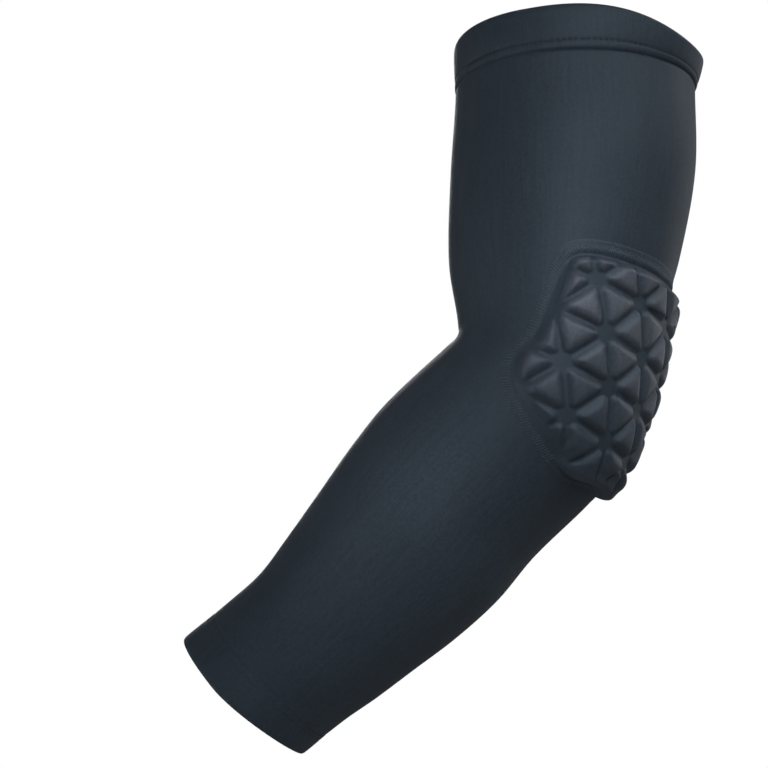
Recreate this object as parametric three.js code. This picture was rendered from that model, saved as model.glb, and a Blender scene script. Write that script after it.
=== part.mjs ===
// A padded compression sleeve for the arm, in the shape it has when worn with the elbow half bent.
// Millimetres, +Z up. The origin is the middle of the elbow, where the axis of the upper arm (along +Z)
// crosses the axis of the forearm. The arm bends in the XZ plane: the back of the elbow faces +X and the
// forearm runs down toward -X.

import * as THREE from "three";

// The bend of the arm: how far the forearm is turned, and the radius of the axis through the elbow.
const FLEXION = THREE.MathUtils.degToRad(50.5);
const BEND_RADIUS = 58;
const BEND_HALF = (BEND_RADIUS * FLEXION) / 2;
const BEND_TOP = BEND_RADIUS * Math.tan(FLEXION / 2);

// The outside of the knit, one row per section along the axis (positive up the arm, negative toward the
// wrist): the reach of the section from the axis to the front, to the back and to either side.
const SECTIONS = [
  { along: 162, front: 51.6, back: 59.0, side: 53.0 },
  { along: 137, front: 51.6, back: 59.0, side: 53.0 },
  { along: 98, front: 54.5, back: 58.0, side: 53.5 },
  { along: 58, front: 56.0, back: 49.5, side: 50.5 },
  { along: 28, front: 51.8, back: 39.4, side: 48.0 },
  { along: 4, front: 51.5, back: 35.8, side: 47.5 },
  { along: -24, front: 52.3, back: 42.4, side: 48.5 },
  { along: -65, front: 53.5, back: 43.5, side: 47.0 },
  { along: -90, front: 50.0, back: 47.1, side: 45.5 },
  { along: -115, front: 45.0, back: 47.0, side: 41.5 },
  { along: -140, front: 40.3, back: 44.3, side: 37.0 },
  { along: -160, front: 37.0, back: 42.0, side: 34.0 },
  { along: -178, front: 38.0, back: 39.0, side: 32.5 },
  { along: -212, front: 41.2, back: 35.6, side: 31.4 },
];
const AROUND = 36;

// The knit wall, and the body's two ends, where it runs into the turned hems.
const KNIT_WALL = 1.2;
const BODY_TOP = 138;
const BODY_END = -188;
const BODY_STEP = 10;
const BEND_STEPS = 7;

// The turned hems: two layers of knit, with a rim that dips and rises a little around the arm. Each row of
// the profile gives the outer and the inner face as a share of the wall, from 0 inside to 1 outside.
const HEM_GAP = 0.3;
const HEM_STAND = 0.3;
const HEM_WALL = 2.2;
const UPPER_RIM = { along: 160.5, backRise: -10, sharpness: 4 };
const WRIST_RIM = { along: -207.3, backRise: 5, sharpness: 1.5 };
const HEM_PROFILE = [
  { height: 0.0, outer: 0.7, inner: 0.2 },
  { height: 0.07, outer: 0.9, inner: 0.05 },
  { height: 0.5, outer: 1.0, inner: 0.0 },
  { height: 0.92, outer: 0.88, inner: 0.1 },
  { height: 1.0, outer: 0.66, inner: 0.32 },
];
const UPPER_FLARE = 4;

// The pad on the elbow, laid flat: millimetres across the arm and along it, from a centre on the back of
// the elbow. One side of its outline; the other side mirrors it. The waist splits it into two halves.
const PAD_CENTRE = 4;
const PAD_WAIST = { across: 66, along: 7 };
const PAD_UPPER_EDGE = [
  { across: 62.5, along: 38 },
  { across: 59.5, along: 48 },
  { across: 48, along: 53.2 },
  { across: 20, along: 56 },
];
const PAD_LOWER_EDGE = [
  { across: 71.5, along: -5 },
  { across: 72, along: -13 },
  { across: 67, along: -22 },
  { across: 47, along: -38.5 },
  { across: 25, along: -48.5 },
];

// The cushions moulded in the pad: triangles on a lattice, with grooves between them.
const LATTICE_PITCH = 23.5;
const LATTICE_TURN = THREE.MathUtils.degToRad(-22.8);
const LATTICE_NODE = { across: -11.9, along: 12.6 };
const LATTICE_COLUMNS = 6;
const LATTICE_ROWS = 8;
const CUSHION_FOOT = { inset: 1.0, corner: 3.2, rise: 0.12 };
const CUSHION_SHOULDER = { inset: 2.6, corner: 2.6, rise: 0.85 };
const NODE_REACH = 5;

// The pad's thickness: at its sewn border, in the grooves, and how far a whole cushion rises from them. The
// middle of its lower end is a blunt lip.
const PAD_CLEARANCE = 0.9;
const PAD_BORDER = 1.4;
const PAD_GROOVE = 3.9;
const CUSHION_RISE = 2.9;
const BORDER_WIDTH = 11;
const PAD_LIP = { thickness: 5.4, from: -34, to: -46, halfWidth: 38, fade: 18 };

// How finely the flat pad is laid on the bent arm: the length of a step over the surface, the nudge that
// finds the way out of it, and how close two places are when they count as one.
const WALK_STEP = 3;
const NUDGE = 0.05;
const SETTLE_PASSES = 3;
const WELD = 0.5;

// The looks of the pieces.
const BODY_LOOK = { color: 0x363d45, roughness: 0.7 };
const UPPER_HEM_LOOK = { color: 0x2f363e, roughness: 0.75 };
const WRIST_HEM_LOOK = { color: 0x2b3239, roughness: 0.75 };
const PAD_LOOK = { color: 0x3d444c, roughness: 0.65 };

// The value of one column of a table at a place along its rows, by a smooth curve through the rows.
function readColumn(rows, column, along) {
  let next = 1;
  while (next < rows.length - 1 && rows[next].along > along) next += 1;
  const slope = (row) => {
    const before = rows[Math.max(row - 1, 0)];
    const after = rows[Math.min(row + 1, rows.length - 1)];
    return (after[column] - before[column]) / (after.along - before.along);
  };
  const from = rows[next - 1];
  const to = rows[next];
  const span = to.along - from.along;
  const part = THREE.MathUtils.clamp((along - from.along) / span, 0, 1);
  const far = part * part * (3 - 2 * part);
  const bendFrom = part * (1 - part) * (1 - part) * span * slope(next - 1);
  const bendTo = part * part * (part - 1) * span * slope(next);
  return from[column] * (1 - far) + to[column] * far + bendFrom + bendTo;
}

// A place on the axis, with the direction to the back of the arm there.
function axisFrame(along) {
  const turn = THREE.MathUtils.clamp((BEND_HALF - along) / BEND_RADIUS, 0, FLEXION);
  const back = new THREE.Vector3(Math.cos(turn), 0, -Math.sin(turn));
  const up = new THREE.Vector3(Math.sin(turn), 0, Math.cos(turn));
  const beyond = along - THREE.MathUtils.clamp(along, -BEND_HALF, BEND_HALF);
  const centre = new THREE.Vector3(-BEND_RADIUS, 0, BEND_TOP);
  centre.addScaledVector(back, BEND_RADIUS).addScaledVector(up, beyond);
  return { centre, back };
}

// A point of the sleeve: along the axis, at an angle around it from the back, moved outward by an offset.
function sleevePoint(along, angle, offset) {
  const { centre, back } = axisFrame(along);
  const depth = Math.cos(angle) > 0 ? "back" : "front";
  const reach = (readColumn(SECTIONS, depth, along) + offset) * Math.cos(angle);
  const sideways = (readColumn(SECTIONS, "side", along) + offset) * Math.sin(angle);
  return new THREE.Vector3(0, sideways, 0).add(centre).addScaledVector(back, reach);
}

// How far out a point lies against the sleeve's surface there: 1 on it, less inside it.
function fillOf(point) {
  const overX = point.x + BEND_RADIUS;
  const overZ = point.z - BEND_TOP;
  const turn = THREE.MathUtils.clamp(Math.atan2(-overZ, overX), 0, FLEXION);
  const reach = overX * Math.cos(turn) - overZ * Math.sin(turn) - BEND_RADIUS;
  const beyond = overX * Math.sin(turn) + overZ * Math.cos(turn);
  const along = BEND_HALF - BEND_RADIUS * turn + beyond;
  const depth = readColumn(SECTIONS, reach > 0 ? "back" : "front", along);
  return Math.hypot(reach / depth, point.y / readColumn(SECTIONS, "side", along));
}

// The steepest way out of the surface at a point, as the change of its fill per millimetre.
function outwardSlope(point) {
  const slope = new THREE.Vector3();
  for (const axis of ["x", "y", "z"]) {
    const ahead = point.clone();
    const behind = point.clone();
    ahead[axis] += NUDGE;
    behind[axis] -= NUDGE;
    slope[axis] = (fillOf(ahead) - fillOf(behind)) / (2 * NUDGE);
  }
  return slope;
}

// Brings a point that is close to the surface onto it.
function settle(point) {
  for (let pass = 0; pass < SETTLE_PASSES; pass += 1) {
    const slope = outwardSlope(point);
    point.addScaledVector(slope, (1 - fillOf(point)) / slope.lengthSq());
  }
  return point;
}

// Lays a flat place of the pad on the sleeve, by a straight walk over the surface from the pad's centre.
const padCentre = settle(sleevePoint(PAD_CENTRE, 0, 0));
const padOutward = outwardSlope(padCentre).normalize();
const padAcross = new THREE.Vector3(0, 1, 0);
const padAlong = new THREE.Vector3().crossVectors(padOutward, padAcross);

function layOnSleeve(place) {
  const distance = Math.hypot(place.across, place.along);
  const steps = Math.max(1, Math.ceil(distance / WALK_STEP));
  const heading = padAcross.clone().multiplyScalar(place.across);
  heading.addScaledVector(padAlong, place.along).normalize();
  const point = padCentre.clone();
  for (let step = 0; step < steps; step += 1) {
    settle(point.addScaledVector(heading, distance / steps));
    const outward = outwardSlope(point).normalize();
    heading.addScaledVector(outward, -heading.dot(outward)).normalize();
  }
  return { point, outward: outwardSlope(point).normalize() };
}

// A closed geometry from points and the triangles that join them.
function solidFrom(points, triangles) {
  const geometry = new THREE.BufferGeometry();
  const coordinates = points.flatMap((point) => [point.x, point.y, point.z]);
  geometry.setAttribute("position", new THREE.Float32BufferAttribute(coordinates, 3));
  geometry.setIndex(triangles);
  geometry.computeVertexNormals();
  return geometry;
}

// A ring-shaped solid around the arm: loops of points that go down the outside and come back up the inside.
function ringSolid(loops) {
  const triangles = [];
  for (let loop = 0; loop < loops.length; loop += 1) {
    const below = (loop + 1) % loops.length;
    for (let spoke = 0; spoke < AROUND; spoke += 1) {
      const turned = (spoke + 1) % AROUND;
      const corner = loop * AROUND + spoke;
      const cornerTurned = loop * AROUND + turned;
      const lower = below * AROUND + spoke;
      const lowerTurned = below * AROUND + turned;
      triangles.push(corner, lower, cornerTurned, cornerTurned, lower, lowerTurned);
    }
  }
  return solidFrom(loops.flat(), triangles);
}

function loopAt(alongOf, offsetOf) {
  const loop = [];
  for (let spoke = 0; spoke < AROUND; spoke += 1) {
    const angle = (2 * Math.PI * spoke) / AROUND;
    loop.push(sleevePoint(alongOf(angle), angle, offsetOf(angle)));
  }
  return loop;
}

// Body of the sleeve: one open tube of knit that runs on under the pad. Its sections are closer together
// through the bend, where the back of the elbow stretches them apart.
function bodyPlaces() {
  const places = [];
  const upperSteps = Math.round((BODY_TOP - BEND_HALF) / BODY_STEP);
  const lowerSteps = Math.round((-BEND_HALF - BODY_END) / BODY_STEP);
  for (let step = 0; step < upperSteps; step += 1) {
    places.push(THREE.MathUtils.lerp(BODY_TOP, BEND_HALF, step / upperSteps));
  }
  for (let step = 0; step < BEND_STEPS; step += 1) {
    places.push(THREE.MathUtils.lerp(BEND_HALF, -BEND_HALF, step / BEND_STEPS));
  }
  for (let step = 0; step <= lowerSteps; step += 1) {
    places.push(THREE.MathUtils.lerp(-BEND_HALF, BODY_END, step / lowerSteps));
  }
  return places;
}

const bodyAlong = bodyPlaces();
const bodyOutside = bodyAlong.map((along) => loopAt(() => along, () => 0));
const bodyInside = bodyAlong.map((along) => loopAt(() => along, () => -KNIT_WALL));
const bodyGeometry = ringSolid([...bodyOutside, ...bodyInside.reverse()]);

// A hem: the doubled knit between the body's end and the rim, a little proud of the body, rounded at both
// edges, and flared outward at the back where it stands off the arm.
function hemSolid(start, rim, flare) {
  const rimAt = (angle) => {
    return rim.along + rim.backRise * Math.max(Math.cos(angle), 0) ** rim.sharpness;
  };
  const loopFor = (height, share) => {
    const alongOf = (angle) => THREE.MathUtils.lerp(start, rimAt(angle), height);
    const offsetOf = (angle) => {
      const stand = HEM_STAND - HEM_WALL * (1 - share);
      return stand + flare * Math.sqrt(height) * Math.max(Math.cos(angle), 0);
    };
    return loopAt(alongOf, offsetOf);
  };
  const outside = HEM_PROFILE.map((row) => loopFor(row.height, row.outer));
  const inside = HEM_PROFILE.map((row) => loopFor(row.height, row.inner));
  const upward = rim.along > start;
  const loops = upward ? [...outside.reverse(), ...inside] : [...outside, ...inside.reverse()];
  return ringSolid(loops);
}

const upperHemGeometry = hemSolid(BODY_TOP + HEM_GAP, UPPER_RIM, UPPER_FLARE);
const wristHemGeometry = hemSolid(BODY_END - HEM_GAP, WRIST_RIM, 0);

// The pad's outline, as two halves above and below its waist, each with no inward corner.
function mirrored(rows) {
  const flipped = rows.map((row) => ({ across: -row.across, along: row.along }));
  return [...rows, ...flipped.reverse()];
}

const padUpperHalf = mirrored([PAD_WAIST, ...PAD_UPPER_EDGE]);
const padLowerHalf = mirrored([PAD_WAIST, ...PAD_LOWER_EDGE]).reverse();

// How far a flat place is on the inner side of the line from one place to another.
function innerDistance(place, from, to) {
  const runAcross = to.across - from.across;
  const runAlong = to.along - from.along;
  const cross = runAcross * (place.along - from.along) - runAlong * (place.across - from.across);
  return cross / Math.hypot(runAcross, runAlong);
}

// The part of a flat polygon inside one half of the outline. Each place carries its cushion's rise along.
function clipTo(outline, polygon) {
  let kept = polygon;
  outline.forEach((from, row) => {
    const to = outline[(row + 1) % outline.length];
    const cut = [];
    kept.forEach((place, index) => {
      const next = kept[(index + 1) % kept.length];
      const here = innerDistance(place, from, to);
      const there = innerDistance(next, from, to);
      if (here >= 0) cut.push(place);
      if (here >= 0 !== there >= 0) {
        const part = here / (here - there);
        cut.push({
          across: THREE.MathUtils.lerp(place.across, next.across, part),
          along: THREE.MathUtils.lerp(place.along, next.along, part),
          rise: THREE.MathUtils.lerp(place.rise, next.rise, part),
        });
      }
    });
    kept = cut;
  });
  return kept;
}

// The distance of a flat place from the pad's border, without counting the waist inside it.
function borderDistance(place) {
  const outline = place.along > PAD_WAIST.along ? padUpperHalf : padLowerHalf;
  const edges = outline.map((from, row) => [from, outline[(row + 1) % outline.length]]);
  const outer = edges.filter(([from, to]) => from.along !== to.along || from.along !== PAD_WAIST.along);
  return Math.min(...outer.map(([from, to]) => innerDistance(place, from, to)));
}

function latticeNode(column, row) {
  const across = (column * LATTICE_PITCH * Math.sqrt(3)) / 2;
  const along = (row + column / 2) * LATTICE_PITCH;
  const cos = Math.cos(LATTICE_TURN);
  const sin = Math.sin(LATTICE_TURN);
  return {
    across: LATTICE_NODE.across + across * cos + along * sin,
    along: LATTICE_NODE.along - across * sin + along * cos,
    rise: 0,
  };
}

function between(from, to, part, rise) {
  return {
    across: THREE.MathUtils.lerp(from.across, to.across, part),
    along: THREE.MathUtils.lerp(from.along, to.along, part),
    rise,
  };
}

// One triangle of the lattice as small triangles: flat ends at its three nodes, the grooves along its
// sides, and the cushion with blunt corners in the middle.
function cushionTriangles(nodes) {
  const inradius = LATTICE_PITCH / (2 * Math.sqrt(3));
  const middle = between(nodes[0], between(nodes[1], nodes[2], 0.5, 0), 2 / 3, 1);
  const ringOf = (level) => {
    const corners = nodes.map((node) => between(node, middle, level.inset / inradius, level.rise));
    const side = LATTICE_PITCH * (1 - level.inset / inradius);
    const blunt = level.corner / side;
    return corners.map((corner, index) => ({
      toNext: between(corner, corners[(index + 1) % 3], blunt, level.rise),
      toLast: between(corner, corners[(index + 2) % 3], blunt, level.rise),
    }));
  };
  const foot = ringOf(CUSHION_FOOT);
  const shoulder = ringOf(CUSHION_SHOULDER);
  const reach = NODE_REACH / LATTICE_PITCH;
  const triangles = [];
  const addQuad = (a, b, c, d) => triangles.push([a, b, c], [a, c, d]);
  nodes.forEach((node, index) => {
    const next = (index + 1) % 3;
    const last = (index + 2) % 3;
    const edgeNear = between(node, nodes[next], reach, 0);
    const edgeFar = between(nodes[next], node, reach, 0);
    const edgeLast = between(node, nodes[last], reach, 0);
    triangles.push([node, edgeNear, foot[index].toNext]);
    triangles.push([node, foot[index].toNext, foot[index].toLast]);
    triangles.push([node, foot[index].toLast, edgeLast]);
    addQuad(edgeNear, edgeFar, foot[next].toLast, foot[index].toNext);
    addQuad(foot[index].toNext, foot[next].toLast, shoulder[next].toLast, shoulder[index].toNext);
    addQuad(foot[index].toLast, foot[index].toNext, shoulder[index].toNext, shoulder[index].toLast);
    triangles.push([shoulder[index].toNext, shoulder[next].toLast, middle]);
    triangles.push([shoulder[index].toLast, shoulder[index].toNext, middle]);
  });
  return triangles;
}

// The whole pad, flat: the lattice cut to the outline, with places that nearly touch joined into one.
function flatPad() {
  const places = [];
  const triangles = [];
  const indexOf = (place) => {
    const near = (other) => Math.hypot(other.across - place.across, other.along - place.along) < WELD;
    const found = places.findIndex(near);
    return found >= 0 ? found : places.push(place) - 1;
  };
  const addCut = (triangle) => {
    for (const half of [padUpperHalf, padLowerHalf]) {
      const indices = clipTo(half, triangle).map(indexOf);
      for (let corner = 2; corner < indices.length; corner += 1) {
        const face = [indices[0], indices[corner - 1], indices[corner]];
        if (new Set(face).size === 3) triangles.push(face);
      }
    }
  };
  for (let column = -LATTICE_COLUMNS; column <= LATTICE_COLUMNS; column += 1) {
    for (let row = -LATTICE_ROWS; row <= LATTICE_ROWS; row += 1) {
      const base = latticeNode(column, row);
      const above = latticeNode(column, row + 1);
      const beside = latticeNode(column + 1, row);
      const opposite = latticeNode(column + 1, row + 1);
      cushionTriangles([base, beside, above]).forEach(addCut);
      cushionTriangles([beside, opposite, above]).forEach(addCut);
    }
  }
  return { places, triangles };
}

// The elbow pad as a solid: its face with the cushions, its underside just clear of the knit, and the
// thin sewn border around it.
function padSolid() {
  const { places, triangles } = flatPad();
  const laid = places.map(layOnSleeve);
  const face = laid.map(({ point, outward }, index) => {
    const inward = THREE.MathUtils.smoothstep(borderDistance(places[index]), 0, BORDER_WIDTH);
    const lipDown = THREE.MathUtils.smoothstep(-places[index].along, -PAD_LIP.from, -PAD_LIP.to);
    const lipRoom = PAD_LIP.halfWidth - Math.abs(places[index].across);
    const lip = lipDown * THREE.MathUtils.smoothstep(lipRoom, 0, PAD_LIP.fade);
    const border = THREE.MathUtils.lerp(PAD_BORDER, PAD_LIP.thickness, lip);
    const full = PAD_GROOVE + CUSHION_RISE * places[index].rise;
    const thickness = THREE.MathUtils.lerp(border, full, inward);
    return point.clone().addScaledVector(outward, PAD_CLEARANCE + thickness);
  });
  const underside = laid.map(({ point, outward }) => point.clone().addScaledVector(outward, PAD_CLEARANCE));
  const count = places.length;
  const indices = [];
  const sides = new Map();
  for (const [a, b, c] of triangles) {
    indices.push(a, b, c, count + c, count + b, count + a);
    for (const [from, to] of [[a, b], [b, c], [c, a]]) {
      if (!sides.delete(`${to} ${from}`)) sides.set(`${from} ${to}`, [from, to]);
    }
  }
  for (const [from, to] of sides.values()) {
    indices.push(to, from, count + from, to, count + from, count + to);
  }
  return solidFrom([...face, ...underside], indices);
}

const padGeometry = padSolid();

// The pieces, each with its own look.
function piece(name, geometry, look) {
  const material = new THREE.MeshStandardMaterial({ ...look, metalness: 0 });
  const mesh = new THREE.Mesh(geometry, material);
  mesh.name = name;
  return mesh;
}

const sleeve = new THREE.Group();
sleeve.add(
  piece("sleeve_body", bodyGeometry, BODY_LOOK),
  piece("upper_hem", upperHemGeometry, UPPER_HEM_LOOK),
  piece("wrist_hem", wristHemGeometry, WRIST_HEM_LOOK),
  piece("elbow_pad", padGeometry, PAD_LOOK),
);

export default sleeve;
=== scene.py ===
# A padded arm sleeve in its worn form: a tube of dark stretch knit with a turned hem at each end and a pad
# of triangular cushions sewn over the elbow. The sleeve's sizes are in millimetres. The studio, the flat
# sheet and the finished meshes are in metres.

import math

import bpy
import numpy as np
from mathutils import Matrix, Vector


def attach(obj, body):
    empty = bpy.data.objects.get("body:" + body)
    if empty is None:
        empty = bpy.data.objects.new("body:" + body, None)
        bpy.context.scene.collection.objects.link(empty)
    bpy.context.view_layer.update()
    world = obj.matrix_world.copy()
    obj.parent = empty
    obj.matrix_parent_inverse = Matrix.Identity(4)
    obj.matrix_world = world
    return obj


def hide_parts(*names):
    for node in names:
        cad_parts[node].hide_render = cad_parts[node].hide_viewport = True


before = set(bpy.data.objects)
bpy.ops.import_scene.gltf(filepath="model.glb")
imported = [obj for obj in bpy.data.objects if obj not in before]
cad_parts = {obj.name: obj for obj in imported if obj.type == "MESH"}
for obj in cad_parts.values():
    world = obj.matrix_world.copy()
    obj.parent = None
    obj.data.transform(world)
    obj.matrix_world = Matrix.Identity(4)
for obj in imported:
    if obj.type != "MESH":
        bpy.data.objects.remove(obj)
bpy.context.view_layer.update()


# Studio
# A white room over a pale floor, both bright to the camera, with the sleeve held up in the air as an arm
# holds it. One broad soft lamp stands in front and one on the far side, weaker ones light the edges, and
# three spots pick out parts of the near side.
MM = 0.001
PICTURE_SIDE = 768
SENSOR_WIDTH = 36.0
ELBOW_PIXEL = (572.5, 384.5)
PIXEL_AT_ELBOW = 0.45 * MM
CAMERA_DISTANCE = 1.6
CAMERA_AZIMUTH = 22
CAMERA_ELEVATION = -17
FLOOR_HEIGHT = -1.25
FLOOR_SIDE = 12.0
FLOOR_COLOUR = (0.74, 0.74, 0.73, 1)
FLOOR_ROUGHNESS = 0.8
FLOOR_GLOW = 0.8
ROOM_WHITE = (1, 1, 1, 1)
ROOM_GLOW = 0.105

# The lamps are squares of one size and stand at one distance from what they aim at. By name: the aim,
# bearing and rise in degrees, how wide the beam spreads in degrees, and power in watts.
UPPER_ARM = Vector((0.01, 0, 0.06))
UPPER_ARM_TOP = Vector((0.03, -0.05, 0.15))
PAD_UPPER_PART = Vector((0.02, -0.03, 0.02))
FOREARM = Vector((-0.056, -0.042, -0.064))
LAMP_DISTANCE = 2.4
LAMP_SIDE = 0.7
LAMP_COLUMNS = ("aim", "bearing", "rise", "spread", "power")
LAMPS = {
    "key_lamp": (UPPER_ARM, 22, 8, 180, 19.4),
    "upper_lamp": (UPPER_ARM, 70, 28, 20, 0.6),
    "side_lamp": (UPPER_ARM, 135, 28, 180, 7.0),
    "back_edge_lamp": (UPPER_ARM, 160, 8, 180, 2.9),
    "front_edge_lamp": (UPPER_ARM, -60, -12, 20, 0.45),
    "far_lamp": (UPPER_ARM, 208, 25, 180, 18),
}

# Three spots pick out the top of the upper arm, the pad and the forearm. By name: the aim, bearing and rise,
# the width of the cone in degrees, and power in watts.
SPOT_RADIUS = 0.05
SPOT_BLEND = 1
SPOT_COLUMNS = ("aim", "bearing", "rise", "cone", "power")
SPOTS = {
    "arm_spot": (UPPER_ARM_TOP, 22, 8, 3.4, 44),
    "pad_spot": (PAD_UPPER_PART, 22, 30, 2.6, 190),
    "forearm_spot": (FOREARM, 10, 20, 2.4, 165),
}


def bearing_direction(bearing, rise):
    """The direction to a bearing, which is 0 toward -Y and 90 toward +X, and a rise, in degrees."""
    bearing = math.radians(bearing)
    rise = math.radians(rise)
    level = math.cos(rise)
    return Vector((math.sin(bearing) * level, -math.cos(bearing) * level, math.sin(rise)))


class Shade:
    """A socket of a node tree, so that shader maths is written as Python expressions."""

    def __init__(self, tree, socket=None):
        self.tree = tree
        self.socket = socket

    def node(self, kind, settings=None, inputs=None, output=0):
        """A new node: its settings first, then the values or links of its sockets."""
        made = self.tree.nodes.new(kind)
        for name, value in (settings or {}).items():
            setattr(made, name, value)
        for name, value in (inputs or {}).items():
            if isinstance(value, Shade):
                self.tree.links.new(value.socket, made.inputs[name])
            else:
                made.inputs[name].default_value = value
        return Shade(self.tree, made.outputs[output] if len(made.outputs) else None)

    def math(self, operation, *values):
        """A maths node of these values, or of this socket where none is given."""
        return self.node("ShaderNodeMath", {"operation": operation}, dict(enumerate(values or (self,))))

    def __add__(self, other):
        return self.math("ADD", self, other)

    def __radd__(self, other):
        return self.math("ADD", other, self)

    def __sub__(self, other):
        return self.math("SUBTRACT", self, other)

    def __rsub__(self, other):
        return self.math("SUBTRACT", other, self)

    def __mul__(self, other):
        return self.math("MULTIPLY", self, other)

    def __rmul__(self, other):
        return self.math("MULTIPLY", other, self)

    def __abs__(self):
        return self.math("ABSOLUTE")


toward_camera = bearing_direction(CAMERA_AZIMUTH, CAMERA_ELEVATION)
camera_right = bearing_direction(CAMERA_AZIMUTH + 90, 0)
camera_up = toward_camera.cross(camera_right)
camera_data = bpy.data.cameras.new("camera")
camera_data.sensor_width = SENSOR_WIDTH
camera_data.lens = SENSOR_WIDTH * CAMERA_DISTANCE / (PICTURE_SIDE * PIXEL_AT_ELBOW)
camera = bpy.data.objects.new("camera", camera_data)
camera_place = toward_camera * CAMERA_DISTANCE
camera_place -= camera_right * (ELBOW_PIXEL[0] - PICTURE_SIDE / 2) * PIXEL_AT_ELBOW
camera_place += camera_up * (ELBOW_PIXEL[1] - PICTURE_SIDE / 2) * PIXEL_AT_ELBOW
camera_turn = Matrix((camera_right, camera_up, toward_camera)).transposed().to_4x4()
camera.matrix_world = Matrix.Translation(camera_place) @ camera_turn
bpy.context.collection.objects.link(camera)
bpy.context.scene.camera = camera
bpy.context.scene.view_settings.view_transform = "Standard"


def add_lamp(light, lamp):
    """Stands a lamp at its bearing and rise, turned to what it aims at."""
    light.energy = lamp["power"]
    lamp_object = bpy.data.objects.new(light.name, light)
    lamp_way = bearing_direction(lamp["bearing"], lamp["rise"])
    lamp_object.location = lamp["aim"] + lamp_way * LAMP_DISTANCE
    lamp_object.rotation_euler = lamp_way.to_track_quat("Z", "Y").to_euler()
    lamp_object.visible_camera = False
    bpy.context.collection.objects.link(lamp_object)


for lamp_name, lamp_row in LAMPS.items():
    lamp = dict(zip(LAMP_COLUMNS, lamp_row))
    light = bpy.data.lights.new(lamp_name, "AREA")
    light.shape = "SQUARE"
    light.size = LAMP_SIDE
    light.spread = math.radians(lamp["spread"])
    add_lamp(light, lamp)
for lamp_name, lamp_row in SPOTS.items():
    lamp = dict(zip(SPOT_COLUMNS, lamp_row))
    light = bpy.data.lights.new(lamp_name, "SPOT")
    light.shadow_soft_size = SPOT_RADIUS
    light.spot_size = math.radians(lamp["cone"])
    light.spot_blend = SPOT_BLEND
    add_lamp(light, lamp)

world = bpy.data.worlds.new("white_room")
bpy.context.scene.world = world
world.use_nodes = True
world.node_tree.nodes.clear()
room = Shade(world.node_tree)
seen_directly = room.node("ShaderNodeLightPath", output="Is Camera Ray")
glow = room.node(
    "ShaderNodeBackground",
    inputs={"Color": ROOM_WHITE, "Strength": seen_directly * (1 - ROOM_GLOW) + ROOM_GLOW},
)
room.node("ShaderNodeOutputWorld", inputs={"Surface": glow})

half_floor = FLOOR_SIDE / 2
floor_mesh = bpy.data.meshes.new("floor")
floor_ways = ((-1, -1), (1, -1), (1, 1), (-1, 1))
floor_corners = [(x * half_floor, y * half_floor, FLOOR_HEIGHT) for x, y in floor_ways]
floor_mesh.from_pydata(floor_corners, [], [(0, 1, 2, 3)])
floor = bpy.data.objects.new("floor", floor_mesh)
bpy.context.collection.objects.link(floor)
floor_material = bpy.data.materials.new("pale_floor")
floor_material.use_nodes = True
floor_material.node_tree.nodes.clear()
pale = Shade(floor_material.node_tree)
matt = pale.node(
    "ShaderNodeBsdfPrincipled",
    inputs={"Base Color": FLOOR_COLOUR, "Roughness": FLOOR_ROUGHNESS},
)
bright = pale.node("ShaderNodeEmission", inputs={"Color": FLOOR_COLOUR})
floor_seen = pale.node("ShaderNodeLightPath", output="Is Camera Ray")
floor_surface = pale.node("ShaderNodeMixShader", inputs={0: floor_seen * FLOOR_GLOW, 1: matt, 2: bright})
pale.node("ShaderNodeOutputMaterial", inputs={"Surface": floor_surface})
floor_mesh.materials.append(floor_material)


# Sleeve body
# One open tube of fine polyester stretch knit, drawn tight over the half bent arm so that it takes the arm's
# form. Its ends run a little way inside the turned hems, and it carries on whole under the elbow pad.
FLEXION = math.radians(50.5)
BEND_RADIUS = 58.0
BEND_HALF = BEND_RADIUS * FLEXION / 2
BEND_TOP = BEND_RADIUS * math.tan(FLEXION / 2)
PIVOT = np.array((-BEND_RADIUS, 0, BEND_TOP))

# The outside of the knit, a row for each section from the wrist up: its place along the arm's axis, and its
# reach from the axis to the front, to the back and to either side.
SECTION_COLUMNS = ("along", "front", "back", "side")
SECTION_ROWS = (
    (-212, 41.2, 35.6, 31.4),
    (-178, 38.0, 39.0, 32.5),
    (-160, 37.0, 42.0, 34.0),
    (-140, 40.3, 44.3, 37.0),
    (-115, 45.0, 47.0, 41.5),
    (-90, 50.0, 47.1, 45.5),
    (-65, 53.5, 43.5, 47.0),
    (-24, 52.3, 42.4, 48.5),
    (4, 51.5, 35.8, 47.5),
    (28, 51.8, 39.4, 48.0),
    (58, 56.0, 49.5, 50.5),
    (98, 54.5, 58.0, 53.5),
    (137, 51.6, 59.0, 53.0),
    (162, 51.6, 59.0, 53.0),
)
SECTIONS = dict(zip(SECTION_COLUMNS, np.array(SECTION_ROWS).T))

KNIT_WALL = 1.2
UPPER_SEAM = 138.6
WRIST_SEAM = -188.6
BODY_AROUND = 240
BODY_ROWS = 200
BODY_INSIDE_ROWS = 40

# How the knit tucks in under the upper hem: how far past the hem's seam, and its lift there. It tucks in
# less under the wrist hem.
TUCK_ROWS = (
    (2.0, -0.85),
    (0.9, -0.75),
    (0.4, -0.60),
    (0.0, -0.42),
    (-0.4, -0.18),
    (-0.9, -0.04),
    (-1.5, 0),
)
TUCK = np.array(TUCK_ROWS)
WRIST_TUCK_SHARE = 0.3

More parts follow.
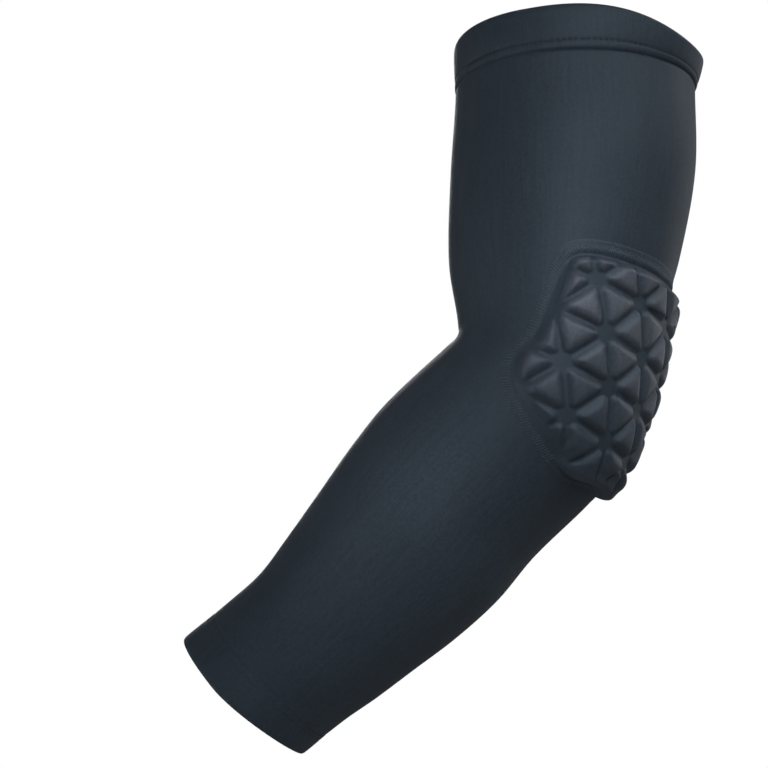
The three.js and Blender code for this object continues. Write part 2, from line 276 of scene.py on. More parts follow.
# The knit: wales round the arm, the height of a course, how far a loop's legs slant as a share of a course,
# how deep the loops cut into a wale, and the colours of its darkest and its lightest places.
WALES_AROUND = 380
COURSE = 0.72
LOOP_SLANT = 0.6
LOOP_DEPTH = 0.2
KNIT_DEEP = (0.0125, 0.0180, 0.0255, 1)
KNIT_HIGH = (0.0225, 0.0315, 0.0430, 1)
KNIT_ROUGHNESS = 0.6
KNIT_GLOSS = 0.36
KNIT_BUMP_STRENGTH = 0.15
KNIT_BUMP_DEPTH = 0.25
SHEEN_TINT = (0.66, 0.82, 1.0, 1)
SHEEN_WEIGHT = 0.03
SHEEN_ROUGHNESS = 0.45

# The uneven tone of the knit: streaks along the wales, a slow drift and a fine grain, with painted shade
# where the yarn of a loop lies deep. The weights are those of the loop shade, the drift and the grain
# beside the streaks, and the level is taken off the sum.
STREAK_ROUND = 30.0
STREAK_RUN = 0.02
STREAK_NOISE = {"Scale": 1.6, "Detail": 4.0}
DRIFT_NOISE = {"Scale": 38.0, "Detail": 3.0}
GRAIN_NOISE = {"Scale": 760.0, "Detail": 2.0}
LOOP_SHADE_WEIGHT = 0.2
DRIFT_WEIGHT = 0.4
GRAIN_WEIGHT = 1.4
TONE_LEVEL = 1.0
ROUGHNESS_DRIFT = 0.12

# Over a cushion the knit is drawn tight and is smoother, and its colour is lighter and warmer there:
# partly the stretched knit, partly a painted highlight on the cushion tops.
TIGHT_AND_LIT_TINT = (3.3, 2.6, 2.32)
TIGHT_SMOOTHING = 0.1


def curve_through(places, values, at):
    """A smooth curve through values at rising places, read anywhere between them."""
    slopes = np.gradient(values, places)
    slopes[1:-1] = (values[2:] - values[:-2]) / (places[2:] - places[:-2])
    row = np.clip(np.searchsorted(places, at, side="right") - 1, 0, len(places) - 2)
    span = places[row + 1] - places[row]
    part = np.clip((at - places[row]) / span, 0, 1)
    far = part * part * (3 - 2 * part)
    bend_from = part * (1 - part) ** 2 * span * slopes[row]
    bend_to = part * part * (part - 1) * span * slopes[row + 1]
    return values[row] * (1 - far) + values[row + 1] * far + bend_from + bend_to


def reach(side, along):
    """How far the knit's outside is from the arm's axis on one side."""
    return curve_through(SECTIONS["along"], SECTIONS[side], along)


def sleeve_point(along, angle, lift):
    """A point at a place along the arm, an angle around it from the back, and a lift off the knit."""
    along, angle, lift = np.broadcast_arrays(along, angle, lift)
    turn = np.clip((BEND_HALF - along) / BEND_RADIUS, 0, FLEXION)
    level = np.zeros_like(turn)
    back = np.stack((np.cos(turn), level, -np.sin(turn)), axis=-1)
    up = np.stack((np.sin(turn), level, np.cos(turn)), axis=-1)
    beyond = along - np.clip(along, -BEND_HALF, BEND_HALF)
    depth = np.where(np.cos(angle) > 0, reach("back", along), reach("front", along))
    behind = BEND_RADIUS + (depth + lift) * np.cos(angle)
    sideways = (reach("side", along) + lift) * np.sin(angle)
    point = PIVOT + behind[..., None] * back + beyond[..., None] * up
    point[..., 1] += sideways
    return point


def ring_piece(name, points, wale, course):
    """A closed ring of cloth from loops that go down its outside and come back up its inside. Wale and
    course say where each point lies in the knit, with one wale more than points to close the round."""
    loops, around = points.shape[:2]
    loop, spoke = np.meshgrid(np.arange(loops), np.arange(around), indexing="ij")
    below = (loop + 1) % loops
    turned = (spoke + 1) % around
    corner_loops = np.stack((loop, below, below, loop), axis=-1)
    corner_spokes = np.stack((spoke, spoke, turned, turned), axis=-1)
    faces = (corner_loops * around + corner_spokes).reshape(-1, 4)
    wale_spokes = np.stack((spoke, spoke, spoke + 1, spoke + 1), axis=-1)
    corner_courses = course[corner_loops, corner_spokes]
    lay = np.stack((wale[wale_spokes], corner_courses, np.zeros(wale_spokes.shape)), axis=-1)
    turn = 2 * math.pi * spoke / around
    streak_round = (STREAK_ROUND * np.cos(turn), STREAK_ROUND * np.sin(turn))
    streak = np.stack((*streak_round, STREAK_RUN * course), axis=-1)
    return cloth_piece(name, points.reshape(-1, 3), faces, lay.reshape(-1, 3), streak.reshape(-1, 3))


def cloth_piece(name, points, faces, lay, streak):
    """A smooth mesh object of points and faces, with the place of each face's corners in the knit, and a
    place for each point in the pattern of streaks that follows the wales."""
    mesh = bpy.data.meshes.new(name)
    mesh.from_pydata((points * MM).tolist(), [], [[int(corner) for corner in face] for face in faces])
    for attribute_name, domain, values in (("lay", "CORNER", lay), ("streak", "POINT", streak)):
        attribute = mesh.attributes.new(attribute_name, "FLOAT_VECTOR", domain)
        attribute.data.foreach_set("vector", np.ascontiguousarray(values, dtype=np.float32).ravel())
    mesh.shade_smooth()
    piece = bpy.data.objects.new(name, mesh)
    bpy.context.collection.objects.link(piece)
    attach(piece, "root")
    return piece


def knit_material(name, gloss):
    """Fine stretch knit: columns of small slanting loops, uneven along the columns, with a soft sheen. Where
    the third number of its place in the knit is above 0 the cloth is smoother and its colour lighter and
    warmer, partly for the tighter knit and partly as a painted highlight."""
    material = bpy.data.materials.new(name)
    material.use_nodes = True
    material.node_tree.nodes.clear()
    knit = Shade(material.node_tree)
    lay = knit.node("ShaderNodeAttribute", {"attribute_name": "lay"}, output="Vector")
    wale, course, tight_and_lit = (
        knit.node("ShaderNodeSeparateXYZ", inputs={"Vector": lay}, output=axis) for axis in "XYZ"
    )
    leg = abs(wale.math("FRACT") - 0.5) * 2
    yarn = (leg * math.pi).math("SINE")
    loop = ((course - leg * LOOP_SLANT) * (2 * math.pi)).math("COSINE")
    height = yarn * (loop * LOOP_DEPTH + (1 - LOOP_DEPTH))
    place = knit.node("ShaderNodeTexCoord", output="Object")
    streak_place = knit.node("ShaderNodeAttribute", {"attribute_name": "streak"}, output="Vector")
    streak = knit.node("ShaderNodeTexNoise", inputs={"Vector": streak_place, **STREAK_NOISE})
    drift = knit.node("ShaderNodeTexNoise", inputs={"Vector": place, **DRIFT_NOISE})
    grain = knit.node("ShaderNodeTexNoise", inputs={"Vector": place, **GRAIN_NOISE})
    # The tone is darker where the yarn of a loop lies deep: painted shade in the hollows between the loops.
    tone = height * LOOP_SHADE_WEIGHT + streak + drift * DRIFT_WEIGHT + grain * GRAIN_WEIGHT - TONE_LEVEL
    colour = knit.node(
        "ShaderNodeMix",
        {"data_type": "RGBA", "clamp_factor": True},
        {"Factor": tone, "A": KNIT_DEEP, "B": KNIT_HIGH},
        output="Result",
    )
    # The cushion tops get a lighter, warmer colour: partly the stretched knit, partly a painted highlight.
    tight_lit_colour = knit.node("ShaderNodeVectorMath", {"operation": "MULTIPLY"}, {0: colour, 1: TIGHT_AND_LIT_TINT})
    base_with_painted_light = knit.node(
        "ShaderNodeMix",
        {"data_type": "RGBA"},
        {"Factor": tight_and_lit, "A": colour, "B": tight_lit_colour},
        output="Result",
    )
    bump = knit.node(
        "ShaderNodeBump",
        inputs={"Height": height, "Strength": KNIT_BUMP_STRENGTH, "Distance": KNIT_BUMP_DEPTH * MM},
    )
    even_roughness = KNIT_ROUGHNESS - ROUGHNESS_DRIFT / 2
    surface = knit.node(
        "ShaderNodeBsdfPrincipled",
        inputs={
            "Base Color": base_with_painted_light,
            "Roughness": drift * ROUGHNESS_DRIFT + even_roughness - tight_and_lit * TIGHT_SMOOTHING,
            "Normal": bump,
            "Specular IOR Level": gloss,
            "Specular Tint": SHEEN_TINT,
            "Sheen Weight": SHEEN_WEIGHT,
            "Sheen Roughness": SHEEN_ROUGHNESS,
            "Sheen Tint": SHEEN_TINT,
        },
    )
    knit.node("ShaderNodeOutputMaterial", inputs={"Surface": surface})
    return material


body_angles = np.linspace(0, 2 * math.pi, BODY_AROUND, endpoint=False)[None, :]
upper_tuck = UPPER_SEAM + TUCK[:, 0]
wrist_tuck = WRIST_SEAM - TUCK[::-1, 0]
body_outside = np.linspace(upper_tuck[-1], wrist_tuck[0], BODY_ROWS)[1:-1]
body_inside = np.linspace(wrist_tuck[-1], upper_tuck[0], BODY_INSIDE_ROWS)
body_along = np.concatenate((upper_tuck, body_outside, wrist_tuck, body_inside))[:, None] + 0 * body_angles
wrist_dip = WRIST_TUCK_SHARE * TUCK[::-1, 1]
body_lift = np.concatenate((TUCK[:, 1], 0 * body_outside, wrist_dip, np.full(BODY_INSIDE_ROWS, -KNIT_WALL)))
body_points = sleeve_point(body_along, body_angles, body_lift[:, None])
body_wales = np.linspace(0, WALES_AROUND, BODY_AROUND + 1)
body = ring_piece("sleeve_body_knit", body_points, body_wales, body_along / COURSE)
sleeve_knit = knit_material("sleeve_knit", KNIT_GLOSS)
body.data.materials.append(sleeve_knit)
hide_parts("sleeve_body")


# Upper hem
# The top of the tube turned in on itself as a doubled band and held by twin needle stitching. The two rows
# of stitches draw the band into a pair of grooves, and it stands off the arm a little at the back.
HEM_AROUND = 720
HEM_SMOOTHING = 4
UPPER_RIM = {"along": 160.5, "back_rise": -10.0, "sharpness": 4.0}
UPPER_FLARE = 4.0
FLARE_SHAPE = 0.85

# The hem's cross section, from the knit up the outside, over the fold and down the inside: height as a share
# of the band, and lift off the knit.
UPPER_PROFILE = (
    (0.000, -0.95),
    (0.010, -0.68),
    (0.028, -0.28),
    (0.05, 0.10),
    (0.08, 0.36),
    (0.13, 0.50),
    (0.17, 0.42),
    (0.20, 0.25),
    (0.22, 0.16),
    (0.24, 0.26),
    (0.29, 0.50),
    (0.45, 0.70),
    (0.75, 0.75),
    (0.90, 0.62),
    (0.975, 0.20),
    (1.0, -0.50),
    (0.98, -1.20),
    (0.92, -1.65),
    (0.70, -1.90),
    (0.30, -1.90),
    (0.05, -1.90),
    (0.0, -1.70),
    (-0.01, -1.30),
)

# The rows of stitches: height as a share of the band, and lift off the knit. The stitches dent the band near
# their row, and the path of each is given as shares of its pitch and its rise there.
UPPER_STITCH_ROWS = ((0.012, -0.50), (0.22, 0.12))
STITCH_PITCH = 2.5
STITCH_DENT = 0.12
DENT_REACH = 0.03
STITCH_PATH = ((0.04, -0.25), (0.22, 0.0), (0.5, 0.06), (0.78, 0.0), (0.96, -0.25))
THREAD_RADIUS = 0.2
THREAD_SIDES = 6
THREAD_COLOUR = (0.0095, 0.0138, 0.0195, 1)
THREAD_LIGHTER = 1.5
THREAD_NOISE = {"Scale": 2600.0, "Detail": 1.0}
THREAD_ROUGHNESS = 0.6
THREAD_BUMP_STRENGTH = 0.5
THREAD_BUMP_DEPTH = 0.1


def hem_point(start, rim, flare, height, angle, lift):
    """A point of a hem at a height in the band, where 0 is its seam and 1 its rim."""
    behind = np.maximum(np.cos(angle), 0)
    edge = rim["along"] + rim["back_rise"] * behind ** rim["sharpness"]
    along = start + (edge - start) * height
    stand = flare * np.clip(height, 0, 1) ** FLARE_SHAPE * behind
    return sleeve_point(along, angle, lift + stand), along


def hem_piece(name, start, rim, flare, profile, stitch_rows, stitches):
    """A turned hem: its cross section carried round the arm, dented along the rows by each stitch."""
    heights, lifts = np.array(profile).T
    rows = np.arange(len(profile), dtype=float)
    fine = np.linspace(0, rows[-1], rows.size * HEM_SMOOTHING)
    height = curve_through(rows, heights, fine)[:, None]
    lift = curve_through(rows, lifts, fine)[:, None]
    angle = np.linspace(0, 2 * math.pi, HEM_AROUND, endpoint=False)[None, :]
    outside = lift > profile[-1][1]
    for row_height, _ in stitch_rows:
        near = np.exp(-((height - row_height) / DENT_REACH) ** 2) * outside
        lift = lift + STITCH_DENT * np.cos(stitches * angle) * near
    points, along = hem_point(start, rim, flare, height, angle, lift)
    if rim["along"] > start:
        points = points[::-1]
        along = along[::-1]
    wales = np.linspace(0, WALES_AROUND, HEM_AROUND + 1)
    return ring_piece(name, points, wales, along / COURSE)


def thread_piece(name, paths, radius, sides=THREAD_SIDES):
    """Sewing thread: a closed tube along each path. A path is a pair of points and ways out of the cloth."""
    points = []
    faces = []
    turns = np.linspace(0, 2 * math.pi, sides, endpoint=False)
    for path, outward in paths:
        ahead = np.gradient(path, axis=0)
        sideways = np.cross(ahead, outward)
        sideways /= np.linalg.norm(sideways, axis=1)[:, None]
        upward = np.cross(sideways, ahead)
        upward /= np.linalg.norm(upward, axis=1)[:, None]
        first = len(points)
        for centre, side, top in zip(path, sideways, upward):
            points.extend(centre + radius * (math.cos(turn) * side + math.sin(turn) * top) for turn in turns)
        for ring in range(len(path) - 1):
            near = first + ring * sides
            for corner in range(sides):
                after = (corner + 1) % sides
                faces.append((near + corner, near + after, near + sides + after, near + sides + corner))
        last = first + (len(path) - 1) * sides
        faces.append(tuple(first + corner for corner in reversed(range(sides))))
        faces.append(tuple(last + corner for corner in range(sides)))
    no_lay = np.zeros((sum(len(face) for face in faces), 3))
    no_streak = np.zeros((len(points), 3))
    return cloth_piece(name, np.array(points), faces, no_lay, no_streak)


def thread_material(name, colour):
    """Polyester thread, matt like the knit, with lighter and darker fibres."""
    material = bpy.data.materials.new(name)
    material.use_nodes = True
    material.node_tree.nodes.clear()
    thread = Shade(material.node_tree)
    place = thread.node("ShaderNodeTexCoord", output="Object")
    fibre = thread.node("ShaderNodeTexNoise", inputs={"Vector": place, **THREAD_NOISE})
    bump = thread.node(
        "ShaderNodeBump",
        inputs={"Height": fibre, "Strength": THREAD_BUMP_STRENGTH, "Distance": THREAD_BUMP_DEPTH * MM},
    )
    lighter = tuple(THREAD_LIGHTER * share for share in colour[:3]) + (1,)
    shade = thread.node(
        "ShaderNodeMix",
        {"data_type": "RGBA"},
        {"Factor": fibre, "A": colour, "B": lighter},
        output="Result",
    )
    surface = thread.node(
        "ShaderNodeBsdfPrincipled",
        inputs={
            "Base Color": shade,
            "Roughness": THREAD_ROUGHNESS,
            "Normal": bump,
            "Specular IOR Level": KNIT_GLOSS,
            "Specular Tint": SHEEN_TINT,
        },
    )
    thread.node("ShaderNodeOutputMaterial", inputs={"Surface": surface})
    return material


def hem_stitches(name, start, rim, flare, rows, count):
    """Straight stitches in rows round a hem, each one dipping into the cloth at its ends."""
    paths = []
    share, rise = np.array(STITCH_PATH).T
    for height, lift in rows:
        for stitch in range(count):
            angle = 2 * math.pi * (stitch + share) / count
            low, _ = hem_point(start, rim, flare, height, angle, lift + rise)
            high, _ = hem_point(start, rim, flare, height, angle, lift + rise + 1)
            paths.append((low, high - low))
    piece = thread_piece(name, paths, THREAD_RADIUS)
    piece.data.materials.append(sewing_thread)
    return piece


upper_round = 2 * math.pi * reach("side", UPPER_SEAM)
upper_stitch_count = round(upper_round / STITCH_PITCH)
sewing_thread = thread_material("sewing_thread", THREAD_COLOUR)
upper_hem = hem_piece(
    "upper_hem_band",
    UPPER_SEAM,
    UPPER_RIM,
    UPPER_FLARE,
    UPPER_PROFILE,
    UPPER_STITCH_ROWS,
    upper_stitch_count,
)
upper_hem.data.materials.append(sleeve_knit)
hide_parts("upper_hem")
upper_stitches = hem_stitches(
    "upper_hem_stitches", UPPER_SEAM, UPPER_RIM, UPPER_FLARE, UPPER_STITCH_ROWS, upper_stitch_count
)


# Wrist hem
# The lower end of the tube, turned in the same way and held by two fine rows of stitches that hardly sink
# into the stretched knit, so the band lies almost flush with the sleeve.
WRIST_RIM = {"along": -207.3, "back_rise": 5.0, "sharpness": 1.5}
WRIST_FLARE = 0.0
WRIST_PROFILE = (
    (0.000, -0.30),
    (0.010, -0.08),
    (0.03, 0.00),
    (0.05, 0.00),
    (0.07, 0.04),
    (0.13, 0.12),
    (0.18, 0.08),
    (0.20, 0.04),
    (0.23, 0.10),
    (0.40, 0.24),
    (0.70, 0.32),
    (0.90, 0.26),
    (0.98, -0.05),
    (1.0, -0.55),
    (0.98, -1.20),
    (0.92, -1.65),
    (0.70, -1.90),
    (0.30, -1.90),
    (0.05, -1.90),
    (0.0, -1.70),
    (-0.01, -1.00),
)
WRIST_STITCH_ROWS = ((0.05, -0.14), (0.20, -0.10))

wrist_round = 2 * math.pi * reach("side", WRIST_SEAM)
wrist_stitch_count = round(wrist_round / STITCH_PITCH)
wrist_hem = hem_piece(
    "wrist_hem_band",
    WRIST_SEAM,
    WRIST_RIM,
    WRIST_FLARE,
    WRIST_PROFILE,
    WRIST_STITCH_ROWS,
    wrist_stitch_count,
)
wrist_hem.data.materials.append(sleeve_knit)
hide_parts("wrist_hem")
wrist_stitches = hem_stitches(
    "wrist_hem_stitches", WRIST_SEAM, WRIST_RIM, WRIST_FLARE, WRIST_STITCH_ROWS, wrist_stitch_count
)


# Elbow pad
# Foam cushions moulded in a lattice of triangles and covered with one layer of the knit, which is heat
# pressed into the grooves between them. Its thin border is sewn flat to the sleeve all round.

# Places on the pad are given flat, across the back of the arm and along it, from a centre on the back of the
# elbow. The outline is given for one side and mirrored, and the mesh is rings round a middle.
PAD_CENTRE = 4.0
PAD_MIDDLE = 3.0
PAD_EDGE = (
    (0, 56.3),
    (20, 56),
    (48, 53.2),
    (59.5, 48),
    (62.5, 38),
    (66, 7),
    (71.5, -5),
    (72, -13),
    (67, -22),
    (47, -38.5),
    (25, -48.5),
    (0, -46.5),
)
EDGE_OVERLAP = 3
EDGE_FINENESS = 4
PAD_AROUND = 560
PAD_RINGS = 96
PAD_CROWDING = 1.2
PAD_UNDER_RINGS = 5
PAD_UNDER_LIFT = -0.5

# The cushions: triangles on a turned lattice with a node at a place on the pad. Each has rounded corners, a
# shoulder and a crown over the grooves, and is a little fuller or flatter than the next. The dome's scale
# brings the middle of a crown to 1.
LATTICE_PITCH = 23.5
LATTICE_TURN = math.radians(-22.8)
LATTICE_NODE = (-11.9, 12.6)
LATTICE_HEIGHT = LATTICE_PITCH * math.sqrt(3) / 2
LATTICE_INRADIUS = LATTICE_HEIGHT / 3
GROOVE_HALF = 0.6
CUSHION_CORNER = 2.8
CUSHION_SHOULDER = 4.0
CUSHION_RISE = 3.0
CROWN_SHARE = 0.34
DOME_SCALE = 27
CUSHION_VARIETY = 0.14
VARIETY_STEPS = (2.4, 5.1, 3.7)
GROOVE_LIFT = 4.8

# The sewn border, and the slope on which the foam rises inside it. A pair of values is for the sides of the
# pad and for its top, which has a raised band along its edge.
SEAM_WIDTH = 5.6
SEAM_LIFT = 0.15
SEAM_EDGE = 0.8
BORDER_SOFTNESS = (0.6, 1.4)
FOAM_FOOT = (1.6, 4.4)
FOAM_RISE = (9.4, 4.6)
TOP_FROM = 36.0
TOP_TO = 46.0
TOP_BAND_LIFT = 0.4
TOP_BAND_WIDTH = 4.4

# The blunt lip in the middle of the pad's lower end, where the border is narrow.
LIP_LIFT = 6.0
LIP_SEAM_WIDTH = 2.4
LIP_ROUND = 4.0
LIP_FROM = 34.0
LIP_TO = 46.0
LIP_HALF_WIDTH = 38.0
LIP_FADE = 18.0

# The knit just outside the border, drawn up into the seam in small puckers: how far out, and its lift.
SKIRT = ((0.5, 0.10), (1.3, 0.08), (2.4, 0.03), (3.2, -0.45))
PUCKER_PITCH = 3.4
PUCKER_RISE = 0.04

# How the flat pad is laid on the bent arm: the length of a step over the surface, the grid of places that
# are walked to and its reach, the nudge that finds the way out, and the passes that settle on the surface.
WALK_STEP = 3.0
WALK_GRID = 4.0
WALK_ACROSS = 92.0
WALK_ALONG = 76.0
NUDGE = 0.05
SETTLE_PASSES = 3

# The knit on the pad: its gloss and the width of a wale, and how tight the cushions draw it, which also
# sets the painted highlight on their tops. It is less at the pad's lower end, which leaves the cushions
# there darker as painted shade.
PAD_GLOSS = 0.42
PAD_WALE = 0.9
TIGHT_LIT_FROM = -40.0
TIGHT_LIT_TO = 30.0
LOWER_TIGHT_AND_LIT = 0.1


def fill_of(points):
    """How far out points lie against the sleeve's surface: 1 on it, less inside it."""
    over = points - PIVOT
    turn = np.clip(np.arctan2(-over[..., 2], over[..., 0]), 0, FLEXION)
    behind = over[..., 0] * np.cos(turn) - over[..., 2] * np.sin(turn) - BEND_RADIUS
    beyond = over[..., 0] * np.sin(turn) + over[..., 2] * np.cos(turn)
    along = BEND_HALF - BEND_RADIUS * turn + beyond
    depth = np.where(behind > 0, reach("back", along), reach("front", along))
    return np.hypot(behind / depth, points[..., 1] / reach("side", along))


def outward_slope(points):
    """The steepest way out of the surface at points, as the change of their fill per millimetre."""
    nudges = NUDGE * np.eye(3)
    return np.stack([(fill_of(points + n) - fill_of(points - n)) / (2 * NUDGE) for n in nudges], axis=-1)


def unit(vectors):
    return vectors / np.linalg.norm(vectors, axis=-1)[..., None]


def settle(points):
    """Brings points that are close to the surface onto it."""
    for _ in range(SETTLE_PASSES):
        slope = outward_slope(points)
        points = points + slope * ((1 - fill_of(points)) / (slope ** 2).sum(axis=-1))[..., None]
    return points


def walk_on_sleeve(across, along):
    """Lays flat places of the pad on the sleeve by straight walks over the surface from the pad's centre."""
    centre = settle(sleeve_point(PAD_CENTRE, 0.0, 0.0))
    way_across = np.array((0.0, 1.0, 0.0))
    way_along = np.cross(unit(outward_slope(centre)), way_across)
    distance = np.maximum(np.hypot(across, along), NUDGE)
    heading = unit(across[..., None] * way_across + along[..., None] * way_along + NUDGE * way_across)
    steps = math.ceil(distance.max() / WALK_STEP)
    points = np.broadcast_to(centre, heading.shape)
    for _ in range(steps):
        points = settle(points + heading * (distance / steps)[..., None])
        outward = unit(outward_slope(points))
        heading = unit(heading - outward * (heading * outward).sum(axis=-1)[..., None])
    return points


grid_across = np.arange(-WALK_ACROSS, WALK_ACROSS + WALK_GRID, WALK_GRID)
grid_along = np.arange(-WALK_ALONG, WALK_ALONG + WALK_GRID, WALK_GRID)
walked = walk_on_sleeve(*np.meshgrid(grid_across, grid_along, indexing="ij"))


def cubic_weights(part):
    """Weights of four neighbours in a row for a place between the middle two."""
    return (
        part * (part * (2 - part) - 1) / 2,
        (part * part * (3 * part - 5) + 2) / 2,
        part * (part * (4 - 3 * part) + 1) / 2,
        part * part * (part - 1) / 2,
    )


def pad_point(across, along, lift):
    """A flat place of the pad laid on the sleeve, at a lift off the knit, with the way out of the cloth."""
    column = (across + WALK_ACROSS) / WALK_GRID
    row = (along + WALK_ALONG) / WALK_GRID
    column_from = np.clip(np.floor(column).astype(int), 1, len(grid_across) - 3)
    row_from = np.clip(np.floor(row).astype(int), 1, len(grid_along) - 3)
    points = np.zeros(across.shape + (3,))
    for column_step, column_weight in enumerate(cubic_weights(column - column_from), -1):
        for row_step, row_weight in enumerate(cubic_weights(row - row_from), -1):
            neighbour = walked[column_from + column_step, row_from + row_step]
            points += (column_weight * row_weight)[..., None] * neighbour
    points = settle(points)
    outward = unit(outward_slope(points))
    return points + lift[..., None] * outward, outward


def pad_edge():
    """The pad's outline as a distance from its middle at each angle, and how squarely that line meets it."""
    right = np.array(PAD_EDGE, dtype=float)
    left = right[-2:0:-1] * (-1, 1)
    ring = np.concatenate((right, left))
    wrapped = np.concatenate((ring[-EDGE_OVERLAP:], ring, ring[: EDGE_OVERLAP + 1]))
    length = np.concatenate(((0,), np.cumsum(np.hypot(*np.diff(wrapped, axis=0).T))))
    fine = np.linspace(length[EDGE_OVERLAP], length[-EDGE_OVERLAP - 1], EDGE_FINENESS * PAD_AROUND)
    across = curve_through(length, wrapped[:, 0], fine)
    along = curve_through(length, wrapped[:, 1], fine) - PAD_MIDDLE
    angle = np.arctan2(across, along)
    order = np.argsort(angle)
    spokes = np.linspace(-math.pi, math.pi, PAD_AROUND, endpoint=False)
    distance = np.interp(spokes, angle[order], np.hypot(across, along)[order], period=2 * math.pi)
    change = (np.roll(distance, -1) - np.roll(distance, 1)) / (4 * math.pi / PAD_AROUND)
    return spokes, distance, distance / np.hypot(distance, change)


def smooth_step(value, start, end):
    part = np.clip((value - start) / (end - start), 0, 1)
    return part * part * (3 - 2 * part)


def triangle_distance(x, y, inset):
    """The distance out of a lattice triangle that points along y, drawn in by an inset, from its middle."""
    half_side = LATTICE_PITCH / 2 * (1 - inset / LATTICE_INRADIUS)
    x = np.abs(x) - half_side
    y = y + half_side / math.sqrt(3)
    beside = x + math.sqrt(3) * y > 0
    x, y = (
        np.where(beside, (x - math.sqrt(3) * y) / 2, x),
        np.where(beside, (-math.sqrt(3) * x - y) / 2, y),
    )
    x = x - np.clip(x, -2 * half_side, 0)
    return -np.hypot(x, y) * np.sign(y)


def lip_share(across, along):
    """How far a flat place lies into the lip at the pad's lower end, from 0 to 1."""
    down = smooth_step(-along, LIP_FROM, LIP_TO)
    return down * smooth_step(LIP_HALF_WIDTH - np.abs(across), 0, LIP_FADE)


def seam_width(across, along):
    """The width of the flat border, which is narrow on the lip."""
    return SEAM_WIDTH + (LIP_SEAM_WIDTH - SEAM_WIDTH) * lip_share(across, along)


def graded(pair, along):
    """A value that is the first of a pair round the sides of the pad, and the second along its top."""
    return pair[0] + (pair[1] - pair[0]) * smooth_step(along, TOP_FROM, TOP_TO)


def cushion_height(across, along, border):
    """The rise of the cushions over the grooves, from 0 to 1, where border is the room to the sewn edge."""
    x = across - LATTICE_NODE[0]
    y = along - LATTICE_NODE[1]
    over = x * math.cos(LATTICE_TURN) - y * math.sin(LATTICE_TURN)
    up = x * math.sin(LATTICE_TURN) + y * math.cos(LATTICE_TURN)
    column = over / LATTICE_HEIGHT
    row = up / LATTICE_PITCH - column / 2
    first = column % 1
    second = row % 1
    upper = first + second > 1
    shares = [np.where(upper, 1 - part, part) for part in (first, second)]
    shares.append(1 - shares[0] - shares[1])
    dome = DOME_SCALE * shares[0] * shares[1] * shares[2]
    which = np.stack((np.floor(column), np.floor(row), upper), axis=-1) @ np.array(VARIETY_STEPS)
    fullness = 1 - CUSHION_VARIETY * (1 + np.sin(which)) / 2
    to_point = (shares[0] - 1 / 3) * LATTICE_HEIGHT
    to_side = (shares[1] - shares[2]) * LATTICE_PITCH / 2
    room_inside = CUSHION_CORNER - triangle_distance(to_side, to_point, GROOVE_HALF + CUSHION_CORNER)
    room_at_border = border - seam_width(across, along) - GROOVE_HALF / 2
    room_inside = np.minimum(room_inside, graded(BORDER_SOFTNESS, along) * room_at_border)
    shoulder = 1 - (1 - np.clip(room_inside / CUSHION_SHOULDER, 0, 1)) ** 2
    return fullness * shoulder * (1 - CROWN_SHARE + CROWN_SHARE * dome)


def pad_lift(across, along, border):
    """The lift of the pad's face off the knit of the sleeve."""
    lip = lip_share(across, along) * (1 - (1 - np.clip(border / LIP_ROUND, 0, 1)) ** 2)
    band = SEAM_LIFT * smooth_step(border, -SEAM_EDGE, SEAM_EDGE)
    top_band = np.sin(math.pi * np.clip(border / TOP_BAND_WIDTH, 0, 1))
    band = band + graded((0, TOP_BAND_LIFT), along) * top_band
    band = band + lip * (LIP_LIFT - band)
    foam_foot = graded(FOAM_FOOT, along)
    foam = smooth_step(border, foam_foot, foam_foot + graded(FOAM_RISE, along))
    cushions = CUSHION_RISE * cushion_height(across, along, border)
    return band + foam * (GROOVE_LIFT - band) + cushions


spokes, edge_distance, edge_squareness = pad_edge()
depth_shares = np.linspace(1 / PAD_RINGS, 1, PAD_RINGS)[::-1] ** PAD_CROWDING
face_shares = np.concatenate((1 - depth_shares, (1,)))[1:]
face_radius = face_shares[:, None] * edge_distance
face_border = (edge_distance - face_radius) * edge_squareness
face_across = face_radius * np.sin(spokes)
face_along = face_radius * np.cos(spokes) + PAD_MIDDLE
face_lift = pad_lift(face_across, face_along, face_border)

edge_steps = edge_distance * np.hypot(1, np.sqrt(1 / edge_squareness ** 2 - 1)) * 2 * math.pi / PAD_AROUND
edge_run = np.cumsum(edge_steps)
pucker_count = round(edge_run[-1] / PUCKER_PITCH)
pucker = PUCKER_RISE * np.sin(edge_run / edge_run[-1] * pucker_count * 2 * math.pi)
skirt_out, skirt_lift = np.array(SKIRT).T
skirt_radius = edge_distance + skirt_out[:, None] / edge_squareness
skirt_across = skirt_radius * np.sin(spokes)
skirt_along = skirt_radius * np.cos(spokes) + PAD_MIDDLE
skirt_height = skirt_lift[:, None] + pucker * (skirt_lift[:, None] > 0)

under_shares = np.linspace(1, 1 / PAD_UNDER_RINGS, PAD_UNDER_RINGS)[:, None]
under_across = under_shares * edge_distance * np.sin(spokes)
under_along = under_shares * edge_distance * np.cos(spokes) + PAD_MIDDLE
pad_across = np.concatenate((face_across, skirt_across, under_across))
pad_along = np.concatenate((face_along, skirt_along, under_along))
pad_lifts = np.concatenate((face_lift, skirt_height, np.full(under_across.shape, PAD_UNDER_LIFT)))
middle_across = np.zeros(2)
middle_along = np.full(2, PAD_MIDDLE)
middle_border = np.full(2, edge_distance.min())
middle_lift = pad_lift(middle_across, middle_along, middle_border)
middle_lift[1] = PAD_UNDER_LIFT
pad_rings, _ = pad_point(pad_across, pad_along, pad_lifts)
pad_middles, _ = pad_point(middle_across, middle_along, middle_lift)

